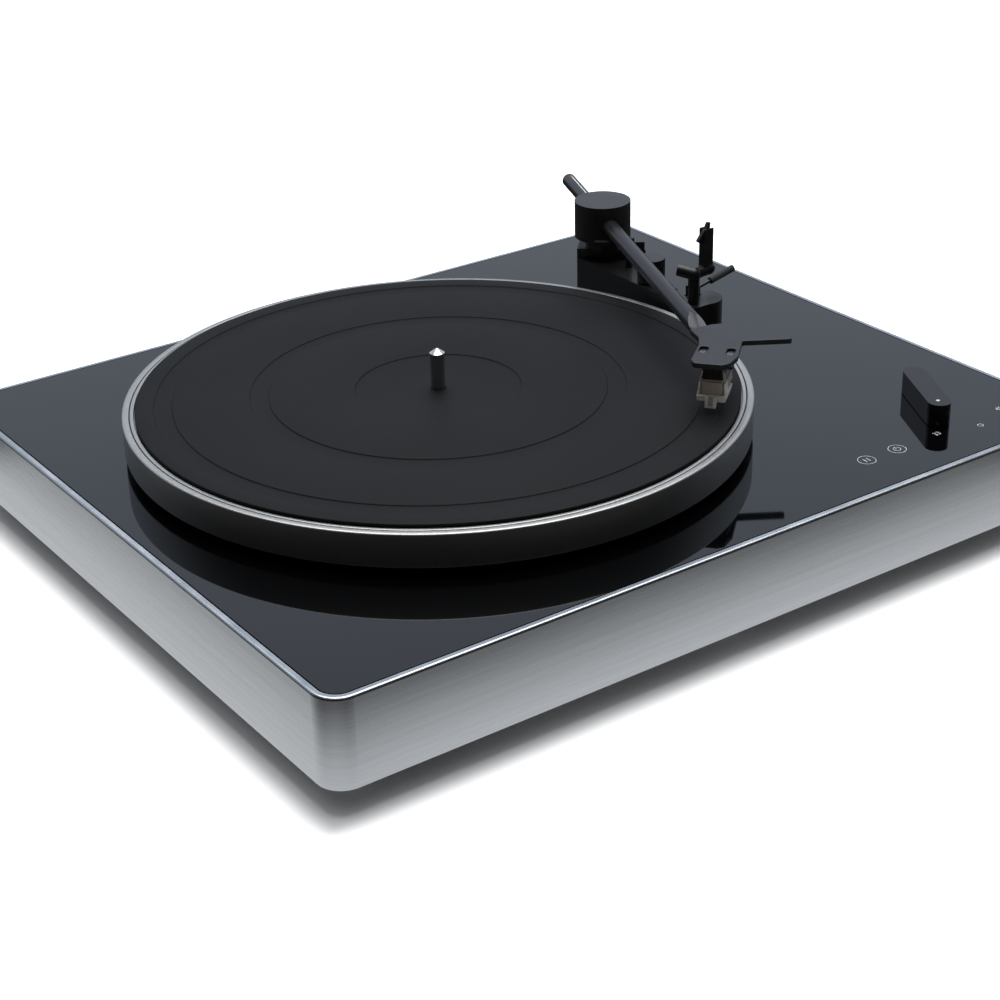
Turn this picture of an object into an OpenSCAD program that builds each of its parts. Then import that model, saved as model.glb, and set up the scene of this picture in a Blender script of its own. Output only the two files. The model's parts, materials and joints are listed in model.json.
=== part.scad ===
// Belt-drive record turntable: slim metal plinth with a glass top, heavy platter and straight tonearm.
// The origin lies on the floor under the middle of the plinth. +X is the right side, +Y the rear, +Z up.

/* [Plinth] */
// Width of the plinth, side to side
plinth_w = 428; // [426:1:440]
// Depth of the plinth, front to back
plinth_d = 362; // [360:1:372]
// Height of the metal side band
band_h = 42; // [41:0.5:46]
// Wall thickness of the side band
band_t = 3; // [2.5:0.1:3.4]
// Radius of the four upright corners
corner_r = 12; // [10:0.5:14]
// Height of the feet under the band
foot_h = 12; // [11:0.5:14]
// Radius of a foot
foot_r = 23; // [20:0.5:25]
// Distance of a foot's centre from each side of the plinth
foot_inset = 58; // [52:1:70]

/* [Platter] */
// Distance of the spindle from the middle of the plinth, to the left
spindle_left = 40.8; // [38:0.2:44]
// Radius of the platter
platter_r = 150; // [148:0.5:151]
// Gap between the glass and the underside of the platter's rim
platter_gap = 4.5; // [4:0.1:6]
// Height of the platter's rim
rim_h = 16.1; // [16:0.1:18]
// Radius of the rubber mat
mat_r = 143.8; // [142:0.1:144]
// Height of the mat above the rim
mat_proud = 1.5; // [1:0.1:2]
// Radius of the record spindle
spindle_r = 3.6; // [3.55:0.01:3.62]
// Height of the spindle above the mat
spindle_proud = 19.5; // [15:0.5:22]

/* [Drive] */
// Radius of the inner platter that the belt runs on
inner_platter_r = 60; // [55:1:64]
// Radius of the motor pulley
pulley_r = 6; // [5.5:0.1:6.5]
// Distance from the spindle to the motor shaft
motor_distance = 100; // [98:1:104]
// Direction of the motor from the spindle, counter-clockwise from the right
motor_angle = 135; // [125:1:145]

/* [Tonearm] */
// Place of the tonearm's pivot, right of the middle
pivot_x = 125.9; // [125.5:0.1:126.3]
// Place of the tonearm's pivot, behind the middle
pivot_y = 86.5; // [86:0.1:87]
// Height of the tonearm tube's axis above the glass
arm_rise = 46.5; // [46.3:0.1:47]
// Direction of the tonearm, counter-clockwise from the right
arm_angle = -112; // [-113:0.5:-111]
// Distance from the pivot to the cartridge screws
arm_reach = 197.9; // [196:0.1:199]
// Radius of the tonearm tube
tube_r = 4.2; // [4:0.05:4.25]
// Angle between the tube and the headshell
offset_angle = -29; // [-30:0.5:-28]
// Radius of the round pivot housing
housing_r = 15.2; // [15:0.1:15.5]

/* [Controls] */
// Length of the speed knob
knob_l = 48; // [46:0.5:50]
// Width of the speed knob
knob_w = 11.3; // [11:0.1:12]
// Height of the speed knob
knob_h = 11.5; // [10:0.5:13]

/* [Hidden] */
$fn = 96;

slack = 0.3;
running = 0.05;

glass_t = 4;
glass_gap = 0.7;
ledge_w = 5;
ledge_t = 1.5;
edge_r = 1.2;
glass_z = foot_h + band_h;
board_z = glass_z - glass_t - ledge_t;
board_t = 9;
board_floor = board_z - board_t;
inner_w = plinth_w - 2 * band_t - 1;
inner_d = plinth_d - 2 * band_t - 1;
cover_t = 2;
cover_top = foot_h + cover_t;
foot_x = plinth_w / 2 - foot_inset;
foot_y = plinth_d / 2 - foot_inset;
post_places = [for (x = [-195, 0, 195], y = [-162, 162]) [x, y]];

spindle_at = [-spindle_left, 0];
rim_z = glass_z + platter_gap;
platter_z = rim_z + rim_h;
plate_t = 5.6;
plate_z = platter_z - plate_t;
rim_step_r = platter_r - 3.4;
plate_r = rim_step_r - 0.4;
mat_top = platter_z + mat_proud;
mat_t = 3;
mat_floor = mat_top - mat_t;
shoulder_z = glass_z + 3;
spindle_top = mat_top + spindle_proud;
cone_h = 2.1;
neck_r = spindle_r - 0.5;
journal_r = 5;
bush_r = 7;
flange_r = 18.8;
bearing_foot = cover_top + 4;
ball_r = 2.5;
ball_z = bearing_foot + 3.5 + ball_r;
motor_at = spindle_at + motor_distance * [cos(motor_angle), sin(motor_angle)];
motor_r = 18;
motor_plate_z = board_floor - 4;
belt_z = plate_z - 7;
belt_w = 5;
belt_t = 0.8;

arm_z = glass_z + arm_rise;
pivot_at = [pivot_x, pivot_y];
arm_base_h = 25.8;
turret_h = 20.5;
turret_r = 10.7;
turret_at = [135.3, 13.8];
pad_h = 31;
housing_foot = arm_z - 9.4;
housing_h = 20;
sleeve_r = 5;
arm_shaft_r = 3;
fork_half = 7;
beam_half = 5.5;
tilt_pin_r = 1.5;
rod_r = 3.9;
rod_out = 70;
head_top = 0.8;
tube_end = 174;
head_t = 2.6;
dial_at = [120.6, 38];
dial_r = 7.3;
dial_h = 13;
lift_radius = 24;
lift_rod_angle = -92;
lift_top = arm_z - tube_r - 0.35;
lever_at = [133.5, 19, glass_z + 23.2];
lever_slope = 12.5;
lever_axle_r = 0.8;
cradle_at = [126.3, 10];
latch_at = [133.6, 10, glass_z + 57.5];
knob_pivot = [162.8, -116.8];
knob_angle = -117.2;
knob_ahead = 12.1;
touch_at = [104, -152];
board_at = [20, 125];
board_w = 120;
board_d = 64;
circuit_z = cover_top + 6;
lead_t = 1.5;
channels = [[80.5, 90], [126, 135]];
label_r = 40;
channel_d = 0.5;
panel_at = [-105, plinth_d / 2];
panel_w = 90;
panel_h = 20;
panel_z = 27;

// Flat rectangle with round corners
module rounded_rect(w, d, r) {
    square([w - 2 * r, d], center = true);
    square([w, d - 2 * r], center = true);
    for (x = [-1, 1], y = [-1, 1])
        translate([x * (w / 2 - r), y * (d / 2 - r)]) circle(r);
}

// Moves to the tonearm's pivot at tube height, with local X along the tube
module on_arm() {
    translate([pivot_x, pivot_y, arm_z]) rotate(arm_angle) children();
}

// Moves to the cartridge screws on top of the headshell, with local X pointing forwards
module on_head() {
    on_arm() translate([arm_reach, -2.1, head_top]) rotate(offset_angle) children();
}

// A cylinder that lies along local X from x0 to x1
module bar(x0, x1, r) {
    translate([x0, 0, 0]) rotate([0, 90, 0]) cylinder(r = r, h = x1 - x0);
}

// A round rod between two points
module rod(a, b, r) {
    d = b - a;
    translate(a) rotate([0, acos(d[2] / norm(d)), atan2(d[1], d[0])]) cylinder(r = r, h = norm(d));
}

// A flat ribbon lead that lies on the bottom cover and follows a path
module ribbon(points) {
    for (i = [0 : len(points) - 2]) {
        run = points[i + 1] - points[i];
        translate([points[i][0], points[i][1], cover_top]) rotate(atan2(run[1], run[0]))
            translate([-1, -3, 0]) cube([norm(run) + 2, 6, lead_t]);
    }
}

// The end of a ribbon lead: rises in front of the circuit board and turns into a connector
module ribbon_end(x) {
    edge = board_at[1] - board_d / 2;
    translate([x - 2.5, edge - 0.3 - lead_t, cover_top + 0.5]) cube([5, lead_t, 11]);
    translate([x - 2.5, edge - 0.3 - lead_t, cover_top + 10]) cube([5, 5.8, lead_t]);
}

// A pan-head screw whose head hangs under z = 0 and whose shank points up
module screw_up(head_r, head_h, shank_r, shank_h) {
    difference() {
        translate([0, 0, -head_h]) cylinder(r = head_r, h = head_h);
        for (a = [0, 90]) rotate(a)
            translate([0, 0, -head_h]) cube([head_r * 1.1, 0.8, 1], center = true);
    }
    cylinder(r = shank_r, h = shank_h);
}

// ---- Plinth ----

// Cross-section of the band: the outer face is at x = 0 and the foot at y = 0
module band_profile() {
    translate([-band_t, 0]) square([band_t, band_h - edge_r]);
    translate([-band_t, 0]) square([band_t - edge_r, band_h]);
    translate([-edge_r, band_h - edge_r]) circle(edge_r);
    translate([-band_t - ledge_w, band_h - glass_t - ledge_t]) square([ledge_w + 1, ledge_t]);
}

// Aluminium side band, bent round the four corners, with a ledge for the glass
module frame_band() {
    color("silver") difference() {
        translate([0, 0, foot_h]) for (side = [0 : 3]) {
            half = side % 2 == 0 ? plinth_w / 2 : plinth_d / 2;
            run = side % 2 == 0 ? plinth_d : plinth_w;
            rotate(90 * side) {
                translate([half, 0, 0]) rotate([90, 0, 0])
                    linear_extrude(run - 2 * corner_r, center = true) band_profile();
                translate([half - corner_r, run / 2 - corner_r, 0])
                    rotate_extrude(angle = 90) translate([corner_r, 0]) band_profile();
            }
        }
        translate([panel_at[0], panel_at[1], panel_z]) cube([panel_w, 4 * band_t, panel_h], center = true);
    }
}

// Dark glass plate that lies on the band's ledge
module top_glass() {
    w = plinth_w - 2 * (band_t + glass_gap);
    d = plinth_d - 2 * (band_t + glass_gap);
    color([0.1, 0.1, 0.12]) translate([0, 0, glass_z - glass_t]) linear_extrude(glass_t) difference() {
        rounded_rect(w, d, corner_r - band_t - glass_gap);
        translate(spindle_at) circle(flange_r + 1);
        translate(motor_at) circle(10);
        translate(pivot_at) circle(sleeve_r + 1);
        translate(knob_pivot) circle(5);
        for (p = base_bolts()) translate(p) circle(1.7);
    }
}

// Fibreboard core that carries the bearing, motor and tonearm
module core_board() {
    color("sienna") translate([0, 0, board_floor]) linear_extrude(board_t) difference() {
        rounded_rect(inner_w, inner_d, corner_r - band_t - 0.5);
        translate(spindle_at) circle(12.3);
        translate(motor_at) circle(8);
        translate(pivot_at) circle(sleeve_r + 0.1);
        translate(knob_pivot) circle(4.6);
        translate(touch_at) square([40, 22], center = true);
        for (p = concat(motor_bolts(), bearing_bolts())) translate(p) circle(1.6);
        for (p = base_bolts()) translate(p) circle(1.7);
    }
}

// Flat metal cover that closes the underside
module bottom_cover() {
    color("dimgray") translate([0, 0, foot_h]) linear_extrude(cover_t) difference() {
        rounded_rect(inner_w, inner_d, corner_r - band_t - 0.5);
        for (p = post_places) translate(p) circle(1.8);
        for (x = [-1, 1], y = [-1, 1]) translate([x * foot_x, y * foot_y]) circle(2.2);
        for (i = [-4 : 4]) translate([motor_at[0] + 7 * i, motor_at[1]]) square([2.4, 30], center = true);
    }
}

// Round spacers between the core board and the bottom cover
module cover_posts() {
    color("gold") for (p = post_places) translate([p[0], p[1], cover_top]) difference() {
        cylinder(r = 4, h = board_floor - cover_top);
        translate([0, 0, -1]) cylinder(r = 1.6, h = 10);
    }
}

// Screws that hold the bottom cover to its spacers
module cover_screws() {
    color("darkgray") for (p = post_places) translate([p[0], p[1], foot_h]) screw_up(3, 1.8, 1.5, 9);
}

// Moves to each foot in turn
module at_feet() {
    for (x = [-1, 1], y = [-1, 1]) translate([x * foot_x, y * foot_y, 0]) children();
}

// Moulded foot shells
module foot_cups() {
    color([0.15, 0.15, 0.15]) at_feet() difference() {
        union() {
            translate([0, 0, 3]) cylinder(r = foot_r, h = foot_h - 3);
            translate([0, 0, 2]) cylinder(r = foot_r - 1, h = 2);
        }
        translate([0, 0, 1]) cylinder(r = foot_r - 3.9, h = 3);
        translate([0, 0, 1]) cylinder(r = 5, h = 6.5);
        cylinder(r = 2.2, h = foot_h + 1);
    }
}

// Soft rings that the feet stand on
module foot_pads() {
    color([0.05, 0.05, 0.05]) at_feet() difference() {
        cylinder(r = foot_r - 4, h = 4);
        translate([0, 0, -1]) cylinder(r = 8, h = 6);
    }
}

// Screws that hold the feet, each with its nut
module foot_screws() {
    color("darkgray") at_feet() translate([0, 0, 7.5]) {
        screw_up(4, 2.2, 2, 11);
        translate([0, 0, cover_top - 7.5]) cylinder(r = 4, h = 3, $fn = 6);
    }
}

// ---- Platter bearing ----

function bearing_bolts() = [for (a = [0, 120, 240]) spindle_at + 15.3 * [cos(a), sin(a)]];

// Flanged aluminium housing of the main bearing
module bearing_housing() {
    color("lightgray") difference() {
        translate([spindle_at[0], spindle_at[1], 0]) {
            translate([0, 0, bearing_foot]) cylinder(r = 12, h = glass_z + 1.5 - bearing_foot);
            translate([0, 0, board_z]) cylinder(r = flange_r, h = 3.5);
        }
        translate([spindle_at[0], spindle_at[1], bearing_foot - 1]) cylinder(r = bush_r, h = glass_z);
        for (p = bearing_bolts()) translate([p[0], p[1], board_z - 1]) cylinder(r = 1.6, h = 6);
    }
}

// Bronze bush that the spindle turns in
module bearing_bush() {
    color("peru") translate([spindle_at[0], spindle_at[1], 0]) difference() {
        translate([0, 0, ball_z + ball_r + 1]) cylinder(r = bush_r, h = glass_z + 0.5 - ball_z - ball_r);
        translate([0, 0, ball_z]) cylinder(r = journal_r + running, h = glass_z);
    }
}

// Hard plate under the ball
module thrust_plate() {
    color("ivory") translate([spindle_at[0], spindle_at[1], bearing_foot])
        cylinder(r = bush_r, h = ball_z - ball_r - bearing_foot);
}

// Steel ball that the spindle stands on
module thrust_ball() {
    color("silver") translate([spindle_at[0], spindle_at[1], ball_z]) sphere(ball_r);
}

// Screws of the bearing flange
module bearing_screws() {
    color("darkgray") for (p = bearing_bolts()) translate([p[0], p[1], board_z + 3.5])
        mirror([0, 0, 1]) screw_up(3, 1.8, 1.5, 10);
}

// ---- Motor and belt ----

function motor_bolts() = [for (a = [30, 150, 270]) motor_at + 25 * [cos(a), sin(a)]];

// Direct-current motor under the core board
module motor_can() {
    color("gray") translate([motor_at[0], motor_at[1], 0]) difference() {
        union() {
            translate([0, 0, cover_top + 1.5]) cylinder(r = motor_r, h = motor_plate_z - cover_top - 1.5);
            translate([0, 0, motor_plate_z - 1]) cylinder(r = 4, h = 5);
        }
        translate([0, 0, cover_top + 6]) cylinder(r = 1 + running, h = 40);
    }
}

// Steel plate that hangs the motor on its grommets
module motor_plate() {
    color("lightsteelblue") translate([0, 0, motor_plate_z]) linear_extrude(1.5) difference() {
        union() {
            translate(motor_at) circle(21);
            for (p = motor_bolts()) translate(p) circle(5.5);
        }
        translate(motor_at) circle(4.2);
        for (p = motor_bolts()) translate(p) circle(1.8);
    }
}

// Rubber grommets between the motor plate and the core board
module motor_grommets() {
    color([0.1, 0.1, 0.1]) for (p = motor_bolts()) translate([p[0], p[1], motor_plate_z + 1.5]) difference() {
        cylinder(r = 4.5, h = board_floor - motor_plate_z - 1.5);
        translate([0, 0, -1]) cylinder(r = 1.8, h = 6);
    }
}

// Screws of the motor plate
module motor_screws() {
    color("darkgray") for (p = motor_bolts()) translate([p[0], p[1], motor_plate_z])
        screw_up(3.2, 1.8, 1.5, 10);
}

// Flat rubber belt: two straight runs between an arc round the inner platter and one round the pulley
module drive_belt() {
    r1 = inner_platter_r + slack;
    r2 = pulley_r + slack;
    half = acos((r1 - r2) / motor_distance);
    run = motor_distance * sin(half);
    color([0.08, 0.08, 0.08]) {
        translate([spindle_at[0], spindle_at[1], belt_z]) {
            rotate(motor_angle + half) rotate_extrude(angle = 360 - 2 * half)
                translate([r1, 0]) square([belt_t, belt_w]);
            rotate(motor_angle + half) translate([r1, -run, 0]) cube([belt_t, run, belt_w]);
            rotate(motor_angle - half) translate([r1, 0, 0]) cube([belt_t, run, belt_w]);
        }
        translate([motor_at[0], motor_at[1], belt_z]) rotate(motor_angle - half)
            rotate_extrude(angle = 2 * half) translate([r2, 0]) square([belt_t, belt_w]);
    }
}

// Flanged pulley on the motor shaft
module motor_pulley() {
    color("gold") translate([motor_at[0], motor_at[1], 0]) difference() {
        union() {
            translate([0, 0, belt_z - 3]) cylinder(r = pulley_r, h = belt_w + 4.4);
            for (z = [belt_z - 1.4, belt_z + belt_w + 0.4]) translate([0, 0, z])
                cylinder(r = pulley_r + 1.6, h = 1);
        }
        translate([0, 0, belt_z - 4]) cylinder(r = 1, h = belt_w + 4);
    }
}

// Steel shaft of the motor
module motor_shaft() {
    color("silver") translate([motor_at[0], motor_at[1], cover_top + 7])
        cylinder(r = 1, h = belt_z + belt_w - cover_top - 7);
}

// ---- Electronics ----

// Circuit board of the motor control and preamplifier
module main_board() {
    color("darkgreen") translate([board_at[0], board_at[1], circuit_z]) linear_extrude(1.6) difference() {
        square([board_w, board_d], center = true);
        for (x = [-1, 1], y = [-1, 1]) translate([x * 55, y * 27]) circle(1.6);
    }
}

// Capacitors, chips, relay and connectors on the circuit board
module board_parts() {
    color([0.2, 0.2, 0.25]) translate([board_at[0], board_at[1], circuit_z + 1.6]) {
        for (x = [-40, -28, -16]) translate([x, 18, 0]) cylinder(r = 4, h = 11);
        for (x = [-34, -10, 14]) translate([x - 6, -12, 0]) cube([12, 8, 2]);
        translate([18, 10, 0]) cube([19, 15, 11]);
        for (x = [-30, 0, 30]) translate([x - 6, -28, 0]) cube([12, 6, 7]);
        translate([40, -20, 0]) cube([6, 14, 12]);
    }
}

// Spacers under the circuit board
module board_spacers() {
    color("white") for (x = [-1, 1], y = [-1, 1])
        translate([board_at[0] + x * 55, board_at[1] + y * 27, cover_top]) {
            cylinder(r = 3, h = circuit_z - cover_top);
            cylinder(r = 1.5, h = circuit_z - cover_top + 1.6);
            translate([0, 0, circuit_z - cover_top + 1.6]) cylinder(r = 2.8, h = 1.8);
        }
}

// Flat lead from the motor to the circuit board
module motor_leads() {
    color("firebrick") {
        ribbon([[motor_at[0] + motor_r - 5, motor_at[1]], [-60, 76], [-10, 89.5]]);
        ribbon_end(-10);
    }
}

// Flat lead from the foot of the tonearm's shaft to the circuit board
module signal_leads() {
    color("royalblue") {
        translate([pivot_x - 2, pivot_y - 0.7, cover_top + 0.5]) cube([4, lead_t, 12]);
        ribbon([[pivot_x, pivot_y], [96, 80], [66, 80], [50, 89.5]]);
        ribbon_end(50);
    }
}

// Small board under the two touch marks
module touch_board() {
    color("darkgreen") translate([touch_at[0], touch_at[1], glass_z - glass_t - 1.8]) {
        cube([36, 18, 1.6], center = true);
        for (x = [-9.7, 9.7]) translate([x, 0, -1.8]) cube([7, 7, 2], center = true);
        translate([0, 0, -2.8]) cube([8, 10, 4], center = true);
    }
}

// Rotary switch under the speed knob
module speed_switch() {
    color([0.25, 0.25, 0.3]) translate([knob_pivot[0], knob_pivot[1], 0]) difference() {
        union() {
            translate([0, 0, board_floor - 14]) cylinder(r = 11, h = 14);
            translate([0, 0, board_floor - 1]) cylinder(r = 4.4, h = board_t + 5);
        }
        translate([0, 0, board_floor - 10]) cylinder(r = 3 + running, h = 40);
    }
}

// ---- Rear connections ----

// Moves to the rear panel, with local Y pointing out of the rear
module at_panel(x, depth) {
    translate([panel_at[0] + x, panel_at[1] - depth, panel_z]) rotate([-90, 0, 0]) children();
}

// Sunken tray that carries the sockets
module jack_panel() {
    color([0.12, 0.12, 0.12]) difference() {
        union() {
            translate([panel_at[0], panel_at[1] - band_t - 4, panel_z])
                cube([panel_w + 4, 8, panel_h + 4], center = true);
            at_panel(18, 13.5) cube([14, 8, 6], center = true);
        }
        translate([panel_at[0], panel_at[1] - band_t, panel_z])
            cube([panel_w, 12, panel_h], center = true);
        for (x = [-32, -14]) at_panel(x, 12) cylinder(r = 3.1, h = 6);
        at_panel(32, 12) cylinder(r = 4.1, h = 6);
        at_panel(4, 12) cylinder(r = 2, h = 6);
        at_panel(18, 9) cube([9, 4.4, 12], center = true);
    }
}

// Pair of phono sockets
module phono_jacks() {
    color("gold") for (x = [-32, -14]) at_panel(x, 0) difference() {
        union() {
            translate([0, 0, -16]) cylinder(r = 3, h = 7.1);
            translate([0, 0, -9]) cylinder(r = 5.5, h = 1.4, $fn = 6);
            translate([0, 0, -7.7]) cylinder(r = 4.15, h = 7.4);
        }
        translate([0, 0, -8]) cylinder(r = 1.6, h = 9);
    }
}

// Low-voltage power inlet
module power_inlet() {
    color([0.2, 0.2, 0.2]) at_panel(32, 0) {
        difference() {
            union() {
                translate([0, 0, -22]) cylinder(r = 4, h = 19);
                translate([0, 0, -9]) cylinder(r = 5.5, h = 2);
            }
            translate([0, 0, -14]) cylinder(r = 2.8, h = 12);
        }
        translate([0, 0, -15]) cylinder(r = 1, h = 11);
    }
}

// Earth terminal with its thumb nut
module ground_post() {
    color("goldenrod") at_panel(4, 0) {
        translate([0, 0, -16]) cylinder(r = 1.9, h = 14);
        translate([0, 0, -8]) cylinder(r = 4, h = 4.5);
    }
}

// Slide switch between the phono and line outputs
module output_switch() {
    color([0.3, 0.3, 0.3]) at_panel(18, 0) {
        translate([0, 0, -12.6]) cube([4, 3.8, 4], center = true);
        translate([0, 0, -9]) cube([3, 3.2, 8], center = true);
    }
}

// ---- Platter ----

// Outer rim of the platter, stepped to take the top plate
module platter_rim() {
    color("gray") translate([spindle_at[0], spindle_at[1], 0]) rotate_extrude($fn = 180) polygon([
        [platter_r - 9, rim_z], [platter_r - 0.8, rim_z], [platter_r, rim_z + 0.8],
        [platter_r, platter_z - 0.8], [platter_r - 0.8, platter_z], [rim_step_r, platter_z],
        [rim_step_r, plate_z], [platter_r - 9, plate_z]]);
}

// Round top plate, sunk to take the mat
module platter_plate() {
    color("silver") translate([spindle_at[0], spindle_at[1], 0]) rotate_extrude($fn = 180) polygon([
        [spindle_r + 0.1, plate_z], [plate_r, plate_z], [plate_r, platter_z],
        [mat_r + 0.5, platter_z], [mat_r + 0.5, mat_floor], [spindle_r + 0.1, mat_floor]]);
}

// Rubber mat with two channels and a label hollow
module platter_mat() {
    color([0.14, 0.14, 0.15]) translate([spindle_at[0], spindle_at[1], 0]) rotate_extrude($fn = 180) polygon([
        [spindle_r + 0.2, mat_floor], [mat_r, mat_floor], [mat_r, mat_top - 0.4], [mat_r - 0.4, mat_top],
        [channels[1][1], mat_top], [channels[1][1], mat_top - channel_d],
        [channels[1][0], mat_top - channel_d], [channels[1][0], mat_top],
        [channels[0][1], mat_top], [channels[0][1], mat_top - channel_d],
        [channels[0][0], mat_top - channel_d], [channels[0][0], mat_top],
        [label_r, mat_top], [label_r, mat_top - channel_d], [spindle_r + 0.2, mat_top - channel_d]]);
}

// Inner platter that the belt drives and the top plate lies on
module inner_platter() {
    color("white") translate([spindle_at[0], spindle_at[1], 0]) rotate_extrude() polygon([
        [neck_r, shoulder_z], [12, shoulder_z], [12, plate_z - 5],
        [inner_platter_r - 5, plate_z - 5],
        [inner_platter_r - 5, belt_z - 1], [inner_platter_r, belt_z - 1], [inner_platter_r, plate_z],
        [neck_r, plate_z]]);
}

// Steel spindle with its pointed top
module spindle() {
    color("lightgray") translate([spindle_at[0], spindle_at[1], 0]) rotate_extrude() polygon([
        [0, ball_z + ball_r + running], [journal_r, ball_z + ball_r + running], [journal_r, shoulder_z],
        [neck_r, shoulder_z], [neck_r, mat_top - channel_d],
        [spindle_r, mat_top - channel_d], [spindle_r, spindle_top - cone_h], [0.6, spindle_top],
        [0, spindle_top]]);
}

// ---- Tonearm base ----

function base_bolts() = [[119, 72], [137, 80], [118, 12]];

// Cast base: wedge-shaped platform, raised pad at the pivot and low turret for the arm rest
module arm_base() {
    side = pivot_x - 13.9;
    color([0.1, 0.1, 0.1]) translate([0, 0, glass_z]) difference() {
        union() {
            linear_extrude(arm_base_h)
                polygon([[side, 91.4], [side + 12, 104], [side + 24, 104], [side + 32, 98],
                         [side + 32, 74], [side + 12.5, 21], [side, 23]]);
            linear_extrude(pad_h)
                polygon([[side, 91.4], [side + 12, 104], [side + 24, 104], [side + 32, 98],
                         [side + 32, 74], [side + 27.5, 66], [side + 22.5, 66.6], [side + 13.3, 78.5]]);
            translate([side, 0, 0]) rotate([90, 0, 90]) linear_extrude(12.5)
                polygon([[9.5, 0], [23, 0], [23, arm_base_h], [9.5, turret_h]]);
            linear_extrude(turret_h)
                polygon([[side, 22], [side, 7.5], [side + 4, 3.6], [turret_at[0] - 2, 3.6],
                         [turret_at[0] - 2, 24], [side + 12.5, 24], [side + 12.5, 22]]);
            translate(turret_at) cylinder(r = turret_r, h = turret_h);
            translate([side + 21.9, 68.7, pad_h - 1]) rotate(-35) cube([5.5, 2, 6]);
        }
        translate([pivot_x, pivot_y, -1]) cylinder(r = sleeve_r, h = pad_h + 2);
        translate([dial_at[0], dial_at[1], 14]) cylinder(r = 2 + running, h = arm_base_h);
        translate(lift_place()) translate([0, 0, 10]) cylinder(r = 2 + running, h = arm_base_h);
        translate([cradle_at[0], cradle_at[1], 12]) cylinder(r = 3, h = turret_h);
        for (p = base_bolts()) translate([p[0], p[1], -1]) cylinder(r = 1.6, h = 9);
        translate([lever_at[0] - 4, lever_at[1] - 2.7, turret_h - 3]) cube([8, 5.4, 9]);
    }
    color([0.1, 0.1, 0.1]) for (y = [-3.8, 2.7]) difference() {
        translate([lever_at[0] - 1.8, lever_at[1] + y, glass_z + turret_h - 1]) cube([3.6, 1.1, 5.8]);
        translate(lever_at) rotate([90, 0, 0]) cylinder(r = lever_axle_r + running, h = 20, center = true);
    }
}

function lift_place() = [
    pivot_x + lift_radius * cos(lift_rod_angle), pivot_y + lift_radius * sin(lift_rod_angle), 0];

// Screws that hold the tonearm base from below
module arm_base_screws() {
    color("darkgray") for (p = base_bolts()) translate([p[0], p[1], board_floor])
        screw_up(3.2, 2, 1.5, glass_z + 6 - board_floor);
}

// Brass sleeve that the tonearm's upright shaft turns in
module arm_sleeve() {
    color("gold") translate([pivot_x, pivot_y, 0]) difference() {
        translate([0, 0, board_floor - 6]) cylinder(r = sleeve_r, h = glass_z + pad_h - board_floor + 6);
        translate([0, 0, board_floor - 7]) cylinder(r = arm_shaft_r + running, h = 80);
    }
}

// Cradle for the parked tonearm: post, two arms and an upright for the latch
module arm_rest() {
    elbow = [136, 10, glass_z + 37.6];
    junction = [cradle_at[0], cradle_at[1], glass_z + 36.6];
    color([0.08, 0.08, 0.08]) {
        translate([cradle_at[0], cradle_at[1], glass_z + 12]) cylinder(r = 3, h = 26.5);
        rod(junction, [121.3, 17, glass_z + 38.2], 3.3);
        rod(junction, elbow, 3.2);
        translate(junction) sphere(3.7);
        translate(elbow) sphere(3.5);
        difference() {
            translate([131.4, 7.6, glass_z + 38]) cube([5.6, 4.8, 22]);
            translate([latch_at[0] - 3.2, 8.7, glass_z + 52]) cube([7, 2.6, 10]);
            translate(latch_at) rotate([90, 0, 0]) cylinder(r = 1 + running, h = 20, center = true);
        }
    }
}

// Beaked latch that holds the parked tonearm down, with its pin
module rest_latch() {
    color([0.12, 0.12, 0.12]) translate(latch_at) {
        rotate([90, 0, 0]) cylinder(r = 1, h = 4.6, center = true);
        rotate([90, 0, 0]) linear_extrude(2, center = true)
            polygon([[-2, 1.2], [-3.4, -0.6], [-5.6, -3.2], [-5.2, -4.2], [-2, -3.4], [1.6, -1.4], [1.8, 1.5],
                     [2.6, 5.2], [1, 5.4], [-0.6, 2.2]]);
    }
}

// Cueing lever with its axle
module cue_lever() {
    color([0.15, 0.15, 0.15]) translate(lever_at) {
        rotate([90, 0, 0]) cylinder(r = lever_axle_r, h = 7.4, center = true);
        rotate([90, 0, 0]) cylinder(r = 2, h = 4.8, center = true);
        rotate([0, -lever_slope, 0]) bar(1, 22, 0.9);
    }
}

// Rubber grip on the cueing lever
module cue_grip() {
    color([0.05, 0.05, 0.05]) translate(lever_at) rotate([0, -lever_slope, 0]) difference() {
        bar(12, 28, 1.9);
        bar(11, 22, 0.9);
    }
}

// Lift rod with the curved bar that raises the tube
module lifter() {
    color([0.1, 0.1, 0.1]) {
        translate(lift_place() + [0, 0, glass_z + 12]) cylinder(r = 2, h = lift_top - glass_z - 12.5);
        translate([pivot_x, pivot_y, lift_top - 2.4]) rotate(-138) rotate_extrude(angle = 52)
            translate([lift_radius - 1.4, 0]) square([2.8, 2.4]);
    }
}

// Anti-skating dial with its shaft
module antiskate_dial() {
    color([0.12, 0.12, 0.12]) translate([dial_at[0], dial_at[1], glass_z]) {
        translate([0, 0, 15]) cylinder(r = 2, h = 12);
        translate([0, 0, arm_base_h + slack]) difference() {
            cylinder(r = dial_r, h = dial_h);
            for (a = [0 : 15 : 345]) rotate(a) translate([dial_r + 0.2, 0, 3])
                cylinder(r = 0.45, h = dial_h, $fn = 16);
        }
    }
}

// ---- Tonearm ----

// Upright steel shaft of the tonearm, with its lower collar
module arm_shaft() {
    color("silver") translate([pivot_x, pivot_y, 0]) {
        translate([0, 0, board_floor - 12]) cylinder(r = arm_shaft_r, h = glass_z + pad_h + 17 - board_floor);
        translate([0, 0, board_floor - 10]) cylinder(r = 5, h = 3.6);
    }
}

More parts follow.
